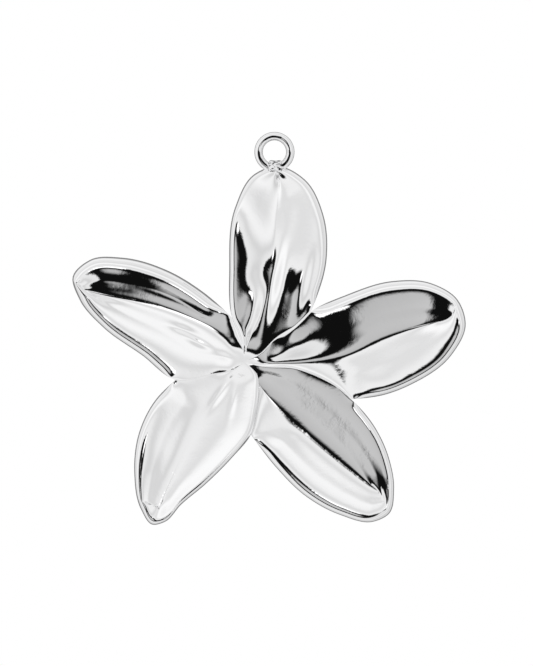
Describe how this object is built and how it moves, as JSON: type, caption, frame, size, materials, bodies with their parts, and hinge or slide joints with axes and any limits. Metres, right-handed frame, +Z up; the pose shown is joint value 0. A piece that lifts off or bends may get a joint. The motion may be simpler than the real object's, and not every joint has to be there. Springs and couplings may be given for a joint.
{
  "type": "flower pendant with a hanging ring",
  "caption": "Polished silver frangipani flower pendant: petals overlap in a pinwheel, each dished with a crease and rounded lip, under a closed hanging ring.",
  "frame": {"origin": "centre of the hanging ring's hole, where the pendant is held up", "axes": "+Z up as the pendant hangs, -Y out of the flower's face towards the viewer, +X to the viewer's right"},
  "size_m": [0.0399, 0.0052, 0.0399],
  "materials": {
    "polished_silver": "mirror-polished cast silver, fine polishing ripple",
    "silver_wire": "polished drawn silver wire",
    "silver_solder": "polished silver solder, slightly duller than the wire"
  },
  "bodies": {
    "root": {"flower": "polished_silver", "hanging_ring": "silver_wire", "solder_joint": "silver_solder"}
  },
  "joints": []
}
